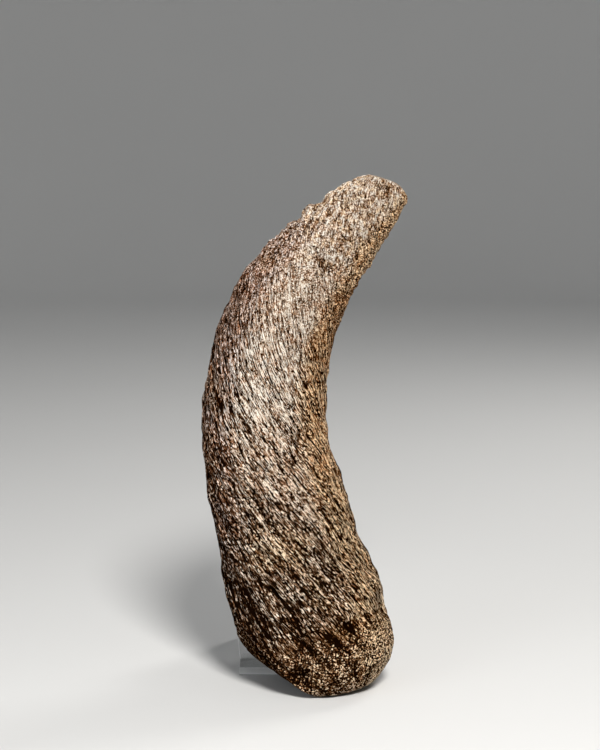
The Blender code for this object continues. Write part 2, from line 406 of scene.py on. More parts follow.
# --------------------------------------------------------------------- finishes
@dataclass(frozen=True)
class FossilBone:
    """Mineralised bone: cream worn grains on a brown ground, and near-black slits and pits.

    Everything follows one tone, 0 in the deepest pits and 1 on the worn tops. The near-black of
    the slits, pits, crevices and dents is painted shade, the palest flecks carry painted glints,
    and the zones add painted light and shade.
    """

    tones: tuple[tuple[float, Colour], ...] = (
        (0.00, (0.0052, 0.0018, 0.0006)),
        (0.13, (0.0423, 0.0160, 0.0056)),
        (0.27, (0.1248, 0.0529, 0.0203)),
        (0.42, (0.2462, 0.1301, 0.0648)),
        (0.58, (0.3864, 0.2423, 0.1470)),
        (0.80, (0.6240, 0.4910, 0.3613)),
        (1.00, (0.9047, 0.7913, 0.6584)),
    )
    # Zones by the share of the way up the body, and by the cosine of the angle from the
    # hollow side.
    up_the_body: tuple[tuple[Zone, Reach], ...] = (
        (Zone.CRUMBLY, (0.12, 0.05)),
        (Zone.CRISP_ABOVE, (0.02, 0.12)),
        (Zone.COOL_ABOVE, (0.08, 0.35)),
        (Zone.LOW, (0.32, 0.16)),
        (Zone.GRAINY, (0.45, 0.22)),
        (Zone.CRISP_BELOW, (0.48, 0.30)),
        (Zone.WAIST, (0.58, 0.42)),
        (Zone.UPPER, (-0.05, 0.62)),
        (Zone.FACE_ABOVE, (0.25, 0.50)),
        (Zone.MIDDLE, (0.30, 0.50)),
        (Zone.CRACKLED, (0.40, 0.60)),
        (Zone.SHOULDER, (0.55, 0.72)),
        (Zone.CROWN, (0.66, 0.80)),
        (Zone.TIP, (0.70, 0.85)),
    )
    bulge_side: Reach = (-0.30, -0.80)
    inside_side: Reach = (0.40, 0.80)
    face_side: Reach = (0.80, 0.45)

    # The tone before its strands, and how strongly it rises and falls from strand to strand.
    ground_level: float = 0.155
    # The levels hold painted light and shade as well as the bone's own tone: darker towards the
    # foot and on the bulging left side, paler up the body and on the front and back faces.
    levels: tuple[Weight, ...] = (
        Weight(-0.04, Zone.CRUMBLY),
        Weight(-0.14, Zone.CRUMBLY, Zone.BULGE),
        Weight(0.10, Zone.CRUMBLY, Zone.INSIDE),
        Weight(-0.17, Zone.LOW),
        Weight(0.20, Zone.LOW, Zone.BULGE),
        Weight(-0.07, Zone.LOW, Zone.INSIDE),
        Weight(0.08, Zone.WAIST),
        Weight(-0.08, Zone.WAIST, Zone.BULGE),
        Weight(0.46, Zone.UPPER),
        Weight(-0.36, Zone.UPPER, Zone.INSIDE),
        Weight(0.06, Zone.SHOULDER),
        Weight(0.24, Zone.SHOULDER, Zone.BULGE),
        Weight(0.27, Zone.TIP),
        Weight(0.07, Zone.TIP, Zone.BULGE),
        Weight(-0.33, Zone.BULGE),
        Weight(0.17, Zone.INSIDE),
        Weight(0.12, Zone.FACE),
    )
    ground_contrast: float = 1.2
    contrasts: tuple[Weight, ...] = (
        Weight(0.10, Zone.CRUMBLY),
        Weight(-0.30, Zone.CRUMBLY, Zone.BULGE),
        Weight(0.40, Zone.CRUMBLY, Zone.INSIDE),
        Weight(-0.25, Zone.LOW, Zone.BULGE),
        Weight(0.60, Zone.LOW, Zone.INSIDE),
        Weight(0.25, Zone.MIDDLE, Zone.INSIDE),
        Weight(-0.20, Zone.UPPER),
        Weight(-0.25, Zone.TIP),
        Weight(0.65, Zone.TIP, Zone.INSIDE),
    )

    # Patterns: features to a grain, and to a metre from the crumbs to the patches.
    strands: Strands = Strands(3.0, 0.15)
    bundles: Strands = Strands(1.7, 0.09)
    seams: Strands = Strands(1.5, 0.10, warp=0.5)
    open_seams: Strands = Strands(0.7, 0.6, 2.0, 0.0)
    long_slits: Strands = Strands(0.95, 0.12)
    clusters: Strands = Strands(0.28, 0.3, 2.0, 0.0)
    finer: float = 1.45
    crumb_scale: float = 1300.0
    crackle_scale: float = 480.0
    crackle_warp: float = 0.8
    mottle_scale: float = 260.0
    rust_scale: float = 120.0
    chalk_scale: float = 95.0
    patch_scale: float = 22.0
    crumb_fleck_scale: float = 1000.0
    fleck_scale: float = 2.2
    fleck_stretch: float = 0.7

    # Where each pattern shows, and how far it moves the tone.
    seam_width: Reach = (0.05, 0.01)
    seam_opens: Reach = (0.44, 0.54)
    seam_in_crumbs: float = 0.35
    slit_opens: Reach = (0.40, 0.33)
    # The open slits' near-black is painted shade.
    slit_painted_shade: float = 0.9
    crackle_width: Reach = (0.045, 0.010)
    crackle_dark: float = 0.50
    # Painted shade in the pits, slits, crevices and dents that the skin's cavity marks, stronger
    # at the tip.
    painted_cavity_shade: float = 0.40
    tip_painted_cavity_shade: float = 0.25
    strand_gain: float = 3.6
    bundle_gain: float = 2.4
    grainy_calm: float = 0.3
    crisp_gain: float = 0.20
    fleck_gain: float = 0.4
    grainy_fleck_gain: float = 0.25
    cluster_gain: float = 0.60
    low_cluster_gain: float = 0.7
    bulge_cluster_loss: float = 0.5
    mottle_gain: float = 0.5
    # The palest flecks are lifted further, partly the bone's pale grains and partly painted
    # glints; the darkest flecks get painted shade as tiny pores.
    pale_grain_and_glint: Reach = (0.82, 0.86)
    pale_grain_and_glint_gain: float = 0.5
    pore: Reach = (0.18, 0.14)
    pore_painted_shade: float = 0.4

    # Tints, where they lie, and where wear takes them off.
    mauve: Colour = (1.00, 0.98, 1.10)
    golden: Colour = (1.08, 0.95, 0.68)
    gold_patch: Reach = (0.54, 0.66)
    gold_speck: Reach = (0.48, 0.38)
    gold_share: float = 0.6
    gold_wears: Reach = (0.50, 1.00)
    gold_worn_off: float = 0.25
    rust: Colour = (1.06, 0.86, 0.70)
    rust_patch: Reach = (0.48, 0.62)
    rust_wears: Reach = (0.45, 0.95)
    rust_worn_off: float = 0.8
    rust_off_tip: float = 0.6
    rust_off_low: float = 0.5
    rust_inside: float = 0.45
    chalk: Colour = (0.93, 1.00, 1.08)
    chalk_patch: Reach = (0.54, 0.66)
    chalk_speck: Reach = (0.54, 0.62)
    chalk_face: float = 0.6

    # Height of each pattern, how far a height of 1 stands up, and the gloss of worn bone.
    strand_bump: float = 0.50
    bundle_bump: float = 0.30
    fleck_bump: float = 0.10
    seam_bump: float = 0.20
    slit_bump: float = 0.22
    bump_reach: float = 0.0022
    worn_tone: Reach = (0.35, 0.75)
    worn_rough: float = 0.52
    polish_tone: Reach = (0.6, 1.1)
    polish: float = 0.18
    refraction: float = 1.5

    def place(self, g: Graph) -> BonePlace:
        """Reads what the skin keeps of a place, and which zones it lies in.

        Args:
            g: the graph.

        Returns:
            The place.
        """
        along, hollow, _ = g.split(g.attribute(Attribute.PLACE.value, "Vector"))
        zones = {zone: along.between(*reach) for zone, reach in self.up_the_body}
        zones[Zone.BULGE] = hollow.between(*self.bulge_side)
        zones[Zone.INSIDE] = hollow.between(*self.inside_side)
        face = hollow.unsigned().between(*self.face_side)
        zones[Zone.FACE] = face * zones[Zone.FACE_ABOVE] * (1.0 - zones[Zone.TIP])
        return BonePlace(
            graph=g,
            grain=g.attribute(Attribute.GRAIN.value, "Vector"),
            where=g.here(),
            along=along,
            cavity=g.attribute(Attribute.CAVITY.value),
            loose=g.attribute(Attribute.LOOSE.value),
            zones=zones,
        )

    def wound(self, at: BonePlace, strands: Strands) -> Value:
        """Noise along the grain that is narrower where the bone is grainy."""
        wide = at.drawn(strands)
        return wide + (at.drawn(strands, self.finer) - wide) * at.zones[Zone.GRAINY]

    def flecks(self, at: BonePlace) -> Value:
        """A random number for each grain or crumb.

        Args:
            at: the place.

        Returns:
            The number, 0 to 1.
        """
        g = at.graph
        drawn_out = g.scaled(at.grain, (1.0, 1.0, self.fleck_stretch))
        wound = g.flecks(drawn_out, self.fleck_scale)
        return at.loosened(wound, g.flecks(at.where, self.crumb_fleck_scale))

    def dark_seam(self, at: BonePlace) -> Value:
        """The thin dark seams between strands. Crumbs have few.

        Args:
            at: the place.

        Returns:
            The seam, 0 to 1.
        """
        seam = (at.drawn(self.seams) - 0.5).unsigned().between(*self.seam_width)
        seam = seam * at.drawn(self.open_seams).between(*self.seam_opens)
        return seam * (1.0 - at.loose * (1.0 - self.seam_in_crumbs))

    def crackle(self, at: BonePlace) -> Value:
        """The net of fine cracks of the upper half, 0 to 1."""
        net = at.graph.noise(at.where, self.crackle_scale, warp=self.crackle_warp) - 0.5
        return net.unsigned().between(*self.crackle_width) * at.zones[Zone.CRACKLED]

    def rise(self, at: BonePlace, fibre: Value, bundle: Value, fleck: Value) -> Value:
        """How far the tone rises and falls from strand to strand.

        Args:
            at: the place.
            fibre: the strands or crumbs.
            bundle: the bundles of strands.
            fleck: the flecks.

        Returns:
            The rise, about 0 on the whole.
        """
        grainy = at.zones[Zone.GRAINY]
        calm = 1.0 - grainy * self.grainy_calm
        crisp = at.zones[Zone.CRISP_BELOW] * at.zones[Zone.CRISP_ABOVE]
        crisp = crisp * (1.0 - at.zones[Zone.BULGE]) * self.crisp_gain + 1.0
        rise = (fibre - 0.5) * crisp * calm * self.strand_gain
        rise = rise + (bundle - 0.5) * (1.0 - at.loose) * calm * self.bundle_gain
        return rise + (fleck - 0.5) * (grainy * self.grainy_fleck_gain + self.fleck_gain)

    def level(self, at: BonePlace, mottle: Value) -> Value:
        """The tone of a zone before its strands, with its paler and darker clusters and the
        painted light and shade of the zones' levels.

        Args:
            at: the place.
            mottle: the spots of the upper half.

        Returns:
            The tone.
        """
        patchy = at.zones[Zone.LOW] * self.low_cluster_gain + self.cluster_gain
        patchy = patchy * (1.0 - at.zones[Zone.BULGE] * self.bulge_cluster_loss)
        level = at.weighed(self.ground_level, self.levels)
        level = level + (at.drawn(self.clusters) - 0.5) * patchy
        return level + (mottle - 0.5) * at.zones[Zone.UPPER] * self.mottle_gain

    def colour(self, at: BonePlace, tone: Value, mottle: Value) -> Value:
        """The colour of a tone, tinted by zone and in patches.

        Args:
            at: the place.
            tone: the tone.
            mottle: the spots of the upper half.

        Returns:
            The colour.
        """
        g = at.graph
        tip, face, inside, crown = (
            at.zones[zone] for zone in (Zone.TIP, Zone.FACE, Zone.INSIDE, Zone.CROWN)
        )
        colour = g.value("ShaderNodeValToRGB", {"stops": self.tones}, {0: tone})
        cool = at.zones[Zone.BULGE] * (1.0 - tip) * at.zones[Zone.COOL_ABOVE]
        colour = g.tinted(cool, colour, self.mauve)

        patch = g.noise(at.where, self.patch_scale, detail=2.0).between(*self.gold_patch)
        gold = patch * (1.0 - face) + at.zones[Zone.CRUMBLY]
        gold = (gold + mottle.between(*self.gold_speck) * crown) * self.gold_share + inside
        gold = gold.at_most(1.0) * (1.0 - tone.between(*self.gold_wears) * self.gold_worn_off)
        colour = g.tinted(gold, colour, self.golden)

        rusty = g.noise(at.where, self.rust_scale, detail=2.0).between(*self.rust_patch)
        rusty = rusty * (1.0 - tone.between(*self.rust_wears) * self.rust_worn_off)
        rusty = rusty * (1.0 - tip * self.rust_off_tip - at.zones[Zone.LOW] * self.rust_off_low)
        rusty = rusty + inside * at.zones[Zone.UPPER] * self.rust_inside
        colour = g.tinted(rusty.at_most(1.0), colour, self.rust)

        chalky = g.noise(at.where, self.chalk_scale, detail=2.0).between(*self.chalk_patch)
        chalky = chalky * at.along + face * self.chalk_face
        chalky = chalky + mottle.between(*self.chalk_speck) * crown
        return g.tinted(chalky.at_most(1.0), colour, self.chalk)

    def material(self) -> bpy.types.Material:
        """Builds the finish.

        Returns:
            The material.
        """
        g = Graph("fossil_bone_skin")
        at = self.place(g)
        crumb = g.noise(at.where, self.crumb_scale)
        fibre = at.loosened(self.wound(at, self.strands), crumb)
        bundle = self.wound(at, self.bundles)
        fleck = self.flecks(at)
        seam = self.dark_seam(at)
        slit = at.drawn(self.long_slits).between(*self.slit_opens) * (1.0 - at.loose)
        mottle = g.noise(at.where, self.mottle_scale)

        contrast = at.weighed(self.ground_contrast, self.contrasts)
        tone = self.level(at, mottle) + self.rise(at, fibre, bundle, fleck) * contrast
        # Painted glints on the palest flecks and painted shade in tiny pores.
        tone = tone + fleck.between(*self.pale_grain_and_glint) * self.pale_grain_and_glint_gain
        tone = tone - fleck.between(*self.pore) * self.pore_painted_shade
        # Painted shade in the open slits, and through the cavity in the pits, crevices and
        # dents.
        tone = tone - seam - slit * self.slit_painted_shade - self.crackle(at) * self.crackle_dark
        tone = tone - at.cavity * (at.zones[Zone.TIP] * self.tip_painted_cavity_shade + self.painted_cavity_shade)
        colour = self.colour(at, tone, mottle)

        height = fibre * self.strand_bump + bundle * self.bundle_bump + fleck * self.fleck_bump
        height = height - seam * self.seam_bump - slit * self.slit_bump
        normal = g.bump(height, self.bump_reach)
        rough = self.worn_rough - tone.between(*self.polish_tone) * self.polish
        matt = g.principled(Base_Color=colour, Roughness=1.0, Specular_IOR_Level=0.0,
                            Normal=normal)
        worn = g.principled(Base_Color=colour, Roughness=rough, IOR=self.refraction,
                            Normal=normal)
        return g.surface(g.node("ShaderNodeMixShader", inputs={
            0: tone.between(*self.worn_tone), 1: matt.outputs[0], 2: worn.outputs[0],
        }))


@dataclass(frozen=True)
class ClearAcrylic:
    """Cast acrylic sheet: clear, with the faint waves and hairlines of a handled face."""

    tint: Colour = (0.985, 0.995, 0.995)
    refraction: float = 1.49
    edge: bool = False
    edge_clear: float = 0.60
    edge_rough: float = 0.32
    edge_grain: float = 0.20
    edge_reach: float = 0.0002
    edge_bump: float = 0.5
    face_rough: float = 0.015
    hairline_rough: float = 0.10
    hairline: Reach = (0.60, 0.78)
    hairline_scale: tuple[float, float, float] = (900.0, 60.0, 140.0)
    wave_scale: float = 30.0
    wave_reach: float = 0.0004
    wave_bump: float = 0.4

    def material(self) -> bpy.types.Material:
        """Builds the finish of the faces, or of the satin cut edges.

        Returns:
            The material.
        """
        g = Graph("acrylic_cut_edge" if self.edge else "acrylic_face")
        where = g.here()
        wave = g.noise(where, self.wave_scale)
        hairline = g.noise(g.scaled(where, self.hairline_scale), 1.0, detail=2.0)
        if self.edge:
            rough = self.edge_rough + hairline * self.edge_grain
            normal = g.bump((hairline + wave) * 0.5, self.edge_reach, self.edge_bump)
        else:
            rough = self.face_rough + hairline.between(*self.hairline) * self.hairline_rough
            normal = g.bump(wave, self.wave_reach, self.wave_bump)
        return g.surface(g.principled(
            Base_Color=(*self.tint, 1.0), Roughness=rough, IOR=self.refraction,
            Transmission_Weight=self.edge_clear if self.edge else 1.0, Normal=normal,
        ))


@dataclass(frozen=True)
class StudioPaper:
    """The pale, plain sweep that everything stands on."""

    colour: Colour = (0.66, 0.66, 0.655)
    shade: float = 0.97
    shade_scale: float = 3.0
    tooth_scale: float = 900.0
    tooth_reach: float = 0.0001
    tooth_bump: float = 0.3
    rough: float = 0.88
    tooth_gloss: float = 0.06

    def material(self) -> bpy.types.Material:
        """Builds the finish.

        Returns:
            The material.
        """
        g = Graph("studio_paper")
        where = g.here()
        tooth = g.noise(where, self.tooth_scale, detail=2.0)
        darker = tuple(self.shade * c for c in self.colour)
        return g.surface(g.principled(
            Base_Color=g.mix(g.noise(where, self.shade_scale), self.colour, darker),
            Roughness=self.rough - tooth * self.tooth_gloss,
            Normal=g.bump(tooth, self.tooth_reach, self.tooth_bump),
        ))


# -------------------------------------------------------------------- horn core
class Station(NamedTuple):
    """A point up the middle of the core, with the half widths of the body there."""

    x: float
    y: float
    z: float
    across: float
    deep: float


class Mark(NamedTuple):
    """A dent or a knob: its place up the body and round it, half sizes and height."""

    along: float
    angle: float
    length: float
    width: float
    height: float


def spline(values: list[float], t: float) -> float:
    """Catmull-Rom value of a list of numbers.

    Args:
        values: the numbers, evenly spaced in t.
        t: from 0 at the first to 1 at the last.

    Returns:
        The value at t.
    """
    spans = len(values) - 1
    place = min(max(t, 0.0), 1.0) * spans
    i = min(int(place), spans - 1)
    f = place - i
    v1 = values[i]
    v2 = values[i + 1]
    v0 = values[i - 1] if i > 0 else 2.0 * v1 - v2
    v3 = values[i + 2] if i + 2 <= spans else 2.0 * v2 - v1
    return v1 + 0.5 * f * (
        v2 - v0 + f * (2.0 * v0 - 5.0 * v1 + 4.0 * v2 - v3 + f * (3.0 * (v1 - v2) + v3 - v0))
    )


def smooth_max(a: float, b: float, rounding: float) -> float:
    """The larger of two numbers, with the corner between them rounded off.

    Args:
        a: a number.
        b: the other number.
        rounding: how wide the rounded corner is.

    Returns:
        The rounded maximum.
    """
    h = max(rounding - abs(a - b), 0.0) / rounding
    return max(a, b) + h * h * rounding * 0.25


def wrapped(angle: float) -> float:
    """An angle brought to within half a turn of 0."""
    return (angle + math.pi) % math.tau - math.pi


def step(low: float, high: float, value: float) -> float:
    """Smooth step from 0 at low to 1 at high."""
    f = min(max((value - low) / (high - low), 0.0), 1.0)
    return f * f * (3.0 - 2.0 * f)


class Streaks(NamedTuple):
    """Relief drawn out along the grain: features to a grain across and along it, a shift."""

    across: float
    length: float
    shift: float = 0.0

    def at(self, place: Vector) -> float:
        """Noise at a place in grain coordinates, about -1 to 1."""
        x, y, z = place.x * self.across, place.y * self.across, place.z * self.length
        return noise.noise(Vector((x, y, z + self.shift)))


@dataclass
class Ring:
    """One ring of the skin, worked out once for all the points on it."""

    along: float
    share: float
    middle: Vector
    hollow: Vector
    back: Vector
    across: float
    deep: float
    wind: float
    t: float
    pace: float
    loose: float
    craggy: float

    def loosened(self, wound: float, crumbly: float) -> float:
        """One number where the grain is wound, and another where it is loose crumbs."""
        return wound + (crumbly - wound) * self.loose


@dataclass
class HornCore:
    """The bone: a dense skin over the frame's horn core, of the same form and finer relief."""

    stations: tuple[Station, ...] = (
        Station(25, -24, -9, 46, 41),
        Station(6.8, -13, 40, 46.8, 41),
        Station(-7, -4, 84, 44.5, 39),
        Station(-18.3, 4.5, 128, 42, 37.5),
        Station(-22.7, 11, 163, 39.5, 36.5),
        Station(-20.5, 17, 197, 37.5, 35),
        Station(-12, 21.5, 224, 35.5, 33),
        Station(2.2, 25.5, 250.5, 32.6, 30),
        Station(21.5, 29, 274, 27, 26),
        Station(39.8, 32, 294.6, 21.8, 21.5),
        Station(60, 34, 313.5, 17, 17),
    )
    marks: tuple[Mark, ...] = (
        Mark(312, 176, 5, 6, 2.4),
        Mark(320, 176, 4, 7, -1.6),
        Mark(291, 82, 5, 11, -2.8),
        Mark(254, 147, 8, 7, -1.4),
        Mark(162, 57, 11, 4.5, -2.2),
        Mark(133, 102, 12, 5, -2.4),
        Mark(98, 75, 9, 4.5, -2.2),
        Mark(131, 182, 14, 12, -2),
        Mark(64, 6, 10, 12, 3),
        Mark(44, 56, 6, 8, -3.4),
        Mark(25, 112, 6, 6, -8),
        Mark(16, 61, 7, 3.5, -4),
        Mark(56, 98, 12, 3.5, -2.2),
        Mark(89, 44, 6, 3, -1.9),
        Mark(42, 113, 16, 4.5, 2.8),
        Mark(38, 99, 18, 6, -2.2),
        Mark(186, 262, 14, 8, -2.4),
        Mark(120, 285, 16, 7, -2),
        Mark(232, 300, 8, 9, 1.8),
        Mark(268, 250, 9, 7, -2),
    )
    trims: tuple[Mark, ...] = (
        Mark(351, 173, 9, 13, -3.6),
        Mark(355, 8, 8, 12, -3.2),
        Mark(305, 178, 3.5, 7, -2),
        Mark(328, 176, 5, 9, 1.6),
        Mark(160, 0, 9, 10, -1.4),
        Mark(108, 180, 8, 9, -1.4),
        Mark(316, 178, 3.5, 6, 1.8),
        Mark(264, 176, 9, 14, 1.4),
        Mark(126, 164, 9, 12, -1.8),
        Mark(82, 4, 7, 12, 2.2),
        Mark(44, 6, 6, 10, -2),
    )
    slits: tuple[Mark, ...] = (
        Mark(163, 58, 9, 1.3, -1.8),
        Mark(174, 48, 8, 1, -1.3),
        Mark(153, 67, 3.5, 1.2, -1.4),
        Mark(178, 53, 4, 1, -1.1),
        Mark(184, 74, 2, 1.2, -1.2),
        Mark(175, 101, 3.5, 1.4, -1.2),
        Mark(178, 81, 3, 1.4, -1.1),
        Mark(170, 88, 2.5, 1.2, -1),
        Mark(135, 106, 6, 1.8, -1.6),
        Mark(126, 101, 8, 2, -1.8),
        Mark(123, 107, 6, 1.2, -1.3),
        Mark(124, 83, 5.5, 1.1, -1.4),
        Mark(123, 76, 3, 1, -1.1),
        Mark(185, 34, 5, 1.1, -1.2),
        Mark(153, 43, 4, 1, -1.2),
        Mark(83, 112, 6, 1.3, -1.4),
        Mark(77, 106, 7, 1.4, -1.5),
        Mark(80, 85, 5, 1.5, -1.6),
        Mark(86, 88, 4, 1.2, -1.4),
        Mark(70, 82, 7, 1.3, -1.4),
        Mark(58, 80, 6, 1.2, -1.3),
        Mark(40, 56, 6, 1.7, -1.9),
        Mark(44, 45, 4, 1.4, -1.4),
        Mark(47, 100, 8, 1.5, -1.5),
        Mark(40, 95, 6, 1.2, -1.3),
        Mark(45, 80, 7, 1.2, -1.2),
        Mark(34, 71, 6, 1.2, -1.3),
        Mark(11, 49, 5, 3, -2),
    )
    # The rounded ends, the wind of the grain, the broken base, its chip and the worn tip.
    round_base: float = 34.0
    round_tip: float = 12.0
    base_squareness: float = 2.3
    tip_squareness: float = 4.6
    wind_base: float = 0.37
    wind_tip: float = 0.85
    break_height: float = -0.9
    break_front: float = -58.0
    break_slope: float = 0.108
    break_rounding: float = 3.0
    break_corner: tuple[float, float] = (16.0, -50.0)
    break_turn: float = math.radians(30.0)
    break_curve: float = 0.029
    chip_corner: tuple[float, float, float] = (46.0, -35.0, 4.8)
    chip_turn: float = math.radians(-18.0)
    chip_slope: float = 1.8
    chip_rounding: float = 2.0
    rubble_size: float = 9.0
    rubble_height: float = 0.6
    rubble_rise: float = 0.6
    broken_above: Reach = (6.0, 1.0)
    wear_height: float = 317.0
    wear_x: float = 46.0
    wear_slope: float = 0.28
    wear_rounding: float = 3.5
    # The skin's mesh, and its grain: its radius in grains, and grains to a millimetre up it.
    sides: int = 400
    base_rings: int = 20
    body_rings: int = 212
    tip_rings: int = 12
    curve_steps: int = 400
    grain_round: float = 30.0
    grain_base: float = 0.33
    grain_tip: float = 0.95
    loose_base: Reach = (52.0, 28.0)
    loose_tip: Reach = (190.0, 310.0)
    loose_at_tip: float = 0.8
    craggy_tip: Reach = (235.0, 300.0)

    # The large relief.
    swell_size: float = 42.0
    swell_height: float = 1.5
    furrow_round: float = 4.6
    furrow_length: float = 30.0
    furrow_height: float = 1.5
    ridge_finer: float = 1.7
    ridge_shift: Vector = Vector((7.0, 3.0, 5.0))
    ridge_height: float = 2.0
    lump_size: float = 10.0
    lump_height: float = 1.1
    relief_drop: float = 0.6

    # The fine relief, and how much painted shade each hollow puts into the cavity, which darkens
    # the bone's colour.
    fibres: Streaks = Streaks(0.85, 0.25)
    fibre_height: float = 0.42
    crumb_size: float = 2.2
    open_slits: Streaks = Streaks(0.60, 0.18, 11.0)
    slit_opens: Reach = (0.26, 0.44)
    slit_loose_loss: float = 0.8
    slit_sinks: float = 1.1
    slit_cavity: float = 0.7
    long_pits: Streaks = Streaks(0.65, 0.36, 23.0)
    round_pit_size: float = 2.4
    pit_opens: Reach = (0.28, 0.50)
    pit_sinks: float = 0.9
    pit_cavity: float = 0.8
    pit_patch_size: float = 19.0
    pit_patch_shift: Vector = Vector((4.0, 2.0, 6.0))
    pit_patch: Reach = (-0.15, 0.35)
    nodule_size: float = 3.8
    seed: int = 1
    nodule_bend: float = 0.45
    nodule_bend_size: float = 3.0
    nodule_half: float = 0.55
    nodule_height: float = 1.3
    crevice: Reach = (0.02, 0.24)
    crevice_sinks: float = 0.9
    crevice_cavity: float = 0.75
    # Dents deeper than the first number start to get painted shade, full at the second, and the
    # cavity's painted shade is capped at the most.
    dent_shade_depth: Reach = (1.2, 3.2)
    dent_painted_shade: float = 1.5
    most_cavity: float = 2.2
    mark_reach: float = 3.0
    slit_reach: float = 1.6

    steps: list[tuple[float, float, float, float]] = field(default_factory=list)
    slit_turns: list[float] = field(default_factory=list)
    length: float = 0.0

    def measure(self) -> None:
        """Measures the middle line by length and winds the grain up it."""
        wind = 0.0
        pace = 0.0
        before = self.middle(0.0)
        for i in range(self.curve_steps + 1):
            t = i / self.curve_steps
            point = self.middle(t)
            stride = (point - before).length
            slope = self.wind_base + (self.wind_tip - self.wind_base) * t
            self.length += stride
            wind += stride * slope / self.half("across", t)
            pace += stride * (self.grain_base + (self.grain_tip - self.grain_base) * t)
            self.steps.append((self.length, t, wind, pace))
            before = point
        self.slit_turns = [math.radians(s.angle) - self.at(s.along)[1] for s in self.slits]

    def middle(self, t: float) -> Vector:
        """Point of the middle line at t."""
        return Vector([spline([getattr(s, a) for s in self.stations], t) for a in "xyz"])

    def half(self, name: str, t: float) -> float:
        """Half width of the body at t."""
        return spline([getattr(s, name) for s in self.stations], t)

    def at(self, along: float) -> tuple[float, float, float]:
        """Parameter, wind angle and grain length at a length along the middle line.

        Args:
            along: the length from the base.

        Returns:
            The parameter t, the angle that the grain has wound through, and the number of
            grains passed.
        """
        lengths, *columns = zip(*self.steps)
        return tuple(float(np.interp(along, lengths, column)) for column in columns)

    def directions(self, t: float) -> tuple[Vector, Vector]:
        """Unit directions to the hollow side and to the back, square to the middle line.

        Args:
            t: place on the middle line.

        Returns:
            The two directions.
        """
        small = 0.5 / self.curve_steps
        low = max(t - small, 0.0)
        high = min(t + small, 1.0)
        tangent = (self.middle(high) - self.middle(low)).normalized()
        back = Vector((0.0, 1.0, 0.0))
        back = (back - tangent * back.dot(tangent)).normalized()
        return back.cross(tangent), back

    def rings(self) -> list[Ring]:
        """The rings of the skin, base to tip.

        Returns:
            The rings, without the two end points.
        """
        base = self.rounded_end(self.base_rings, self.round_base, self.base_squareness)
        tip = self.rounded_end(self.tip_rings, self.round_tip, self.tip_squareness)
        straight = self.length - self.round_base - self.round_tip
        body = [(self.round_base + straight * i / (self.body_rings + 1), 1.0)
                for i in range(1, self.body_rings + 1)]
        places = base + body + [(self.length - along, share) for along, share in reversed(tip)]
        return [self.ring(along, share) for along, share in places]

    @staticmethod
    def rounded_end(count: int, depth: float, squareness: float) -> list[tuple[float, float]]:
        """Places of the rings of a rounded end, outermost first.

        Args:
            count: number of rings.
            depth: length of the rounding.
            squareness: 2 for an ellipse, and more for a squarer end.

        Returns:
            Each ring's length from the end, and its share of the full half width.
        """
        places = []
        for i in range(1, count + 1):
            turn = 0.5 * math.pi * i / count
            drop = math.cos(turn) ** (2.0 / squareness)
            places.append((depth * (1.0 - drop), math.sin(turn) ** (2.0 / squareness)))
        return places

    def ring(self, along: float, share: float) -> Ring:
        """Works out one ring.

        Args:
            along: length from the base.
            share: share of the full half width.

        Returns:
            The ring.
        """
        t, wind, pace = self.at(along)
        hollow, back = self.directions(t)
        loose_tip = self.loose_at_tip * step(*self.loose_tip, along)
        loose = max(step(*self.loose_base, along), loose_tip)
        return Ring(along, share, self.middle(t), hollow, back, self.half("across", t),
                    self.half("deep", t), wind, t, pace, loose, step(*self.craggy_tip, along))

    def marks_height(self, marks: tuple[Mark, ...], ring: Ring, angle: float) -> float:
        """Height that dents and knobs add at a place on the body.

        Args:
            marks: the dents and knobs.
            ring: the ring of the place.
            angle: the angle round it.

        Returns:
            The height.
        """
        height = 0.0
        for mark in marks:
            u = (ring.along - mark.along) / mark.length
            if abs(u) <= self.mark_reach:
                v = wrapped(angle - math.radians(mark.angle)) * ring.across / mark.width
                height += mark.height * math.exp(-(u * u + v * v))
        return height

    def slit_depth(self, ring: Ring, angle: float) -> float:
        """Depth of the long open slits, which lie along the grain.

        Args:
            ring: the ring of the place.
            angle: the angle round it.

        Returns:
            The depth.
        """
        depth = 0.0
        for slit, turn_there in zip(self.slits, self.slit_turns):
            u = (ring.along - slit.along) / slit.length
            if abs(u) <= self.slit_reach:
                turn = wrapped(angle - ring.wind - turn_there)
                v = turn * ring.across * max(ring.share, 0.5) / slit.width
                depth = max(depth, -slit.height * math.exp(-(u ** 4 + v * v)))
        return depth

    def relief(self, point: Vector, ring: Ring, angle: float) -> float:
        """Height of the large relief, which the frame's solid has too.

        Args:
            point: the place on the smooth form.
            ring: its ring.
            angle: the angle round the ring.

        Returns:
            The height.
        """
        flow = angle - ring.wind
        round_flow = Vector((math.cos(flow) * self.furrow_round,
                             math.sin(flow) * self.furrow_round,
                             ring.along / self.furrow_length))
        ridge = 0.5 - abs(noise.noise(round_flow * self.ridge_finer + self.ridge_shift))
        height = self.swell_height * noise.noise(point / self.swell_size)
        height += self.furrow_height * noise.noise(round_flow)
        height += self.ridge_height * ridge
        height += self.lump_height * noise.noise(point / self.lump_size)
        marks = self.marks_height(self.marks + self.trims, ring, angle)
        return (height - self.relief_drop + marks) * ring.share

    def grain_place(self, ring: Ring, angle: float) -> Vector:
        """Coordinates in which the bone's grain runs straight.

        Args:
            ring: the ring of the place.
            angle: the angle round it.

        Returns:
            The coordinates, in grains.
        """
        flow = angle - ring.wind
        across = self.grain_round
        return Vector((math.cos(flow) * across, math.sin(flow) * across, ring.pace))

    def nodules(self, point: Vector) -> tuple[float, float]:
        """The knobbly bone near the tip: small rounded lumps with crevices between them.

        Args:
            point: the place on the smooth form.

        Returns:
            The height of the lump there, and the crevice from 0 to 1.
        """
        bend = self.nodule_bend * noise.noise_vector(point / self.nodule_bend_size)
        near, next_near = noise.voronoi(point / self.nodule_size + bend)[0][:2]
        lump = self.nodule_height * max(self.nodule_half - near, 0.0)
        return lump, 1.0 - step(*self.crevice, next_near - near)

